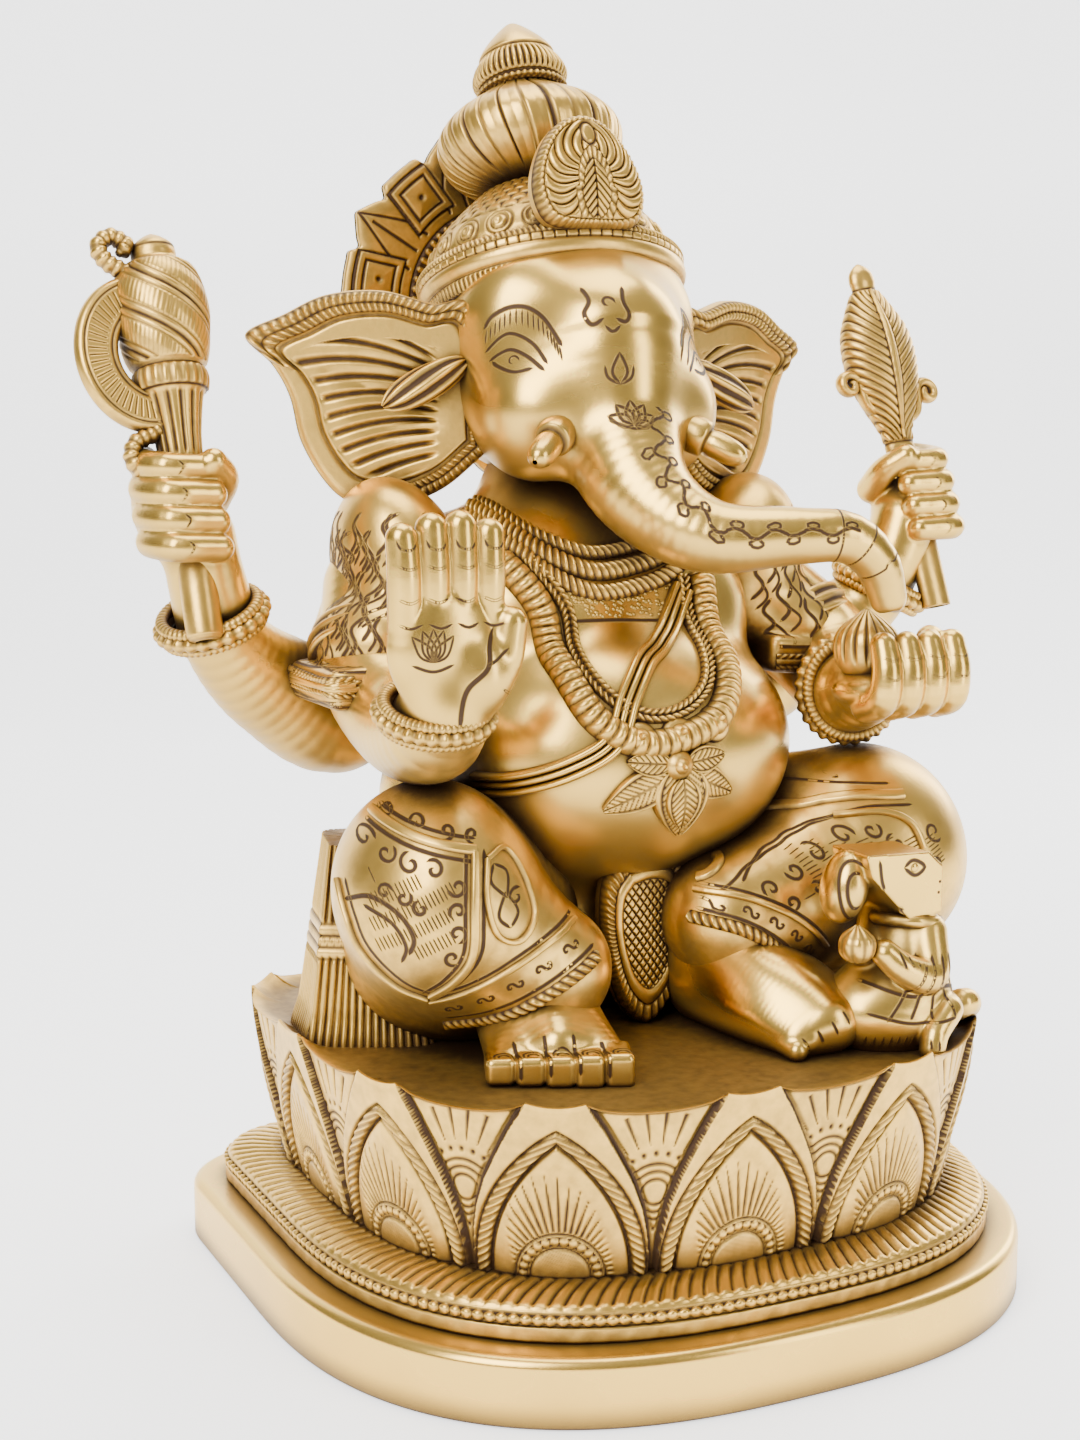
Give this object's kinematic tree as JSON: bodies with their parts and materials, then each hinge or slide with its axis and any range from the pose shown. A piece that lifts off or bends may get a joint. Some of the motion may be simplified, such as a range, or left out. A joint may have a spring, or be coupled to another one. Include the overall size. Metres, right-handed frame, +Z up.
{
  "type": "seated elephant-headed deity statuette",
  "caption": "Seated elephant-headed deity statuette in polished and engraved brass, on a lotus pedestal and a stepped D-shaped plinth.",
  "frame": {"origin": "middle of the underside of the plinth, on the surface it stands on", "axes": "+Z up; the figure faces -Y; +X is towards the figure's own left hand"},
  "size_m": [0.2366, 0.16, 0.3048],
  "materials": {
    "polished_brass": "polished by hand, soft reflections, darker in the hollows",
    "engraved_brass": "chased and engraved, raised parts polished, dark brown patina in the lines"
  },
  "bodies": {
    "root": {"base_plate": "polished_brass", "torso": "polished_brass", "head": "polished_brass", "right_front_arm": "polished_brass", "left_front_arm": "polished_brass", "right_rear_arm": "polished_brass", "left_rear_arm": "polished_brass", "right_foot": "polished_brass", "left_foot": "polished_brass", "right_tusk": "polished_brass", "left_tusk": "polished_brass", "sacred_thread": "polished_brass", "mouse": "polished_brass", "crown_dome": "engraved_brass", "crown_band": "engraved_brass", "crown_bun": "engraved_brass", "crown_finial": "engraved_brass", "crown_plaque": "engraved_brass", "halo_rosette": "engraved_brass", "right_ear": "engraved_brass", "left_ear": "engraved_brass", "right_ear_leaf": "engraved_brass", "left_ear_leaf": "engraved_brass", "right_shawl": "engraved_brass", "left_shawl": "engraved_brass", "necklace": "engraved_brass", "choker": "engraved_brass", "pendant": "engraved_brass", "right_rear_bracelet": "engraved_brass", "left_rear_bracelet": "engraved_brass", "right_front_bracelet": "engraved_brass", "left_front_bracelet": "engraved_brass", "mace": "engraved_brass", "axe_crescent": "engraved_brass", "leaf_bud": "engraved_brass", "modak": "engraved_brass", "mouse_sweet": "engraved_brass", "right_side_drape": "engraved_brass", "left_side_drape": "engraved_brass", "right_leg": "engraved_brass", "left_leg": "engraved_brass", "front_pleat": "engraved_brass", "moulding_tier": "engraved_brass", "lotus_pedestal": "engraved_brass"}
  },
  "joints": []
}
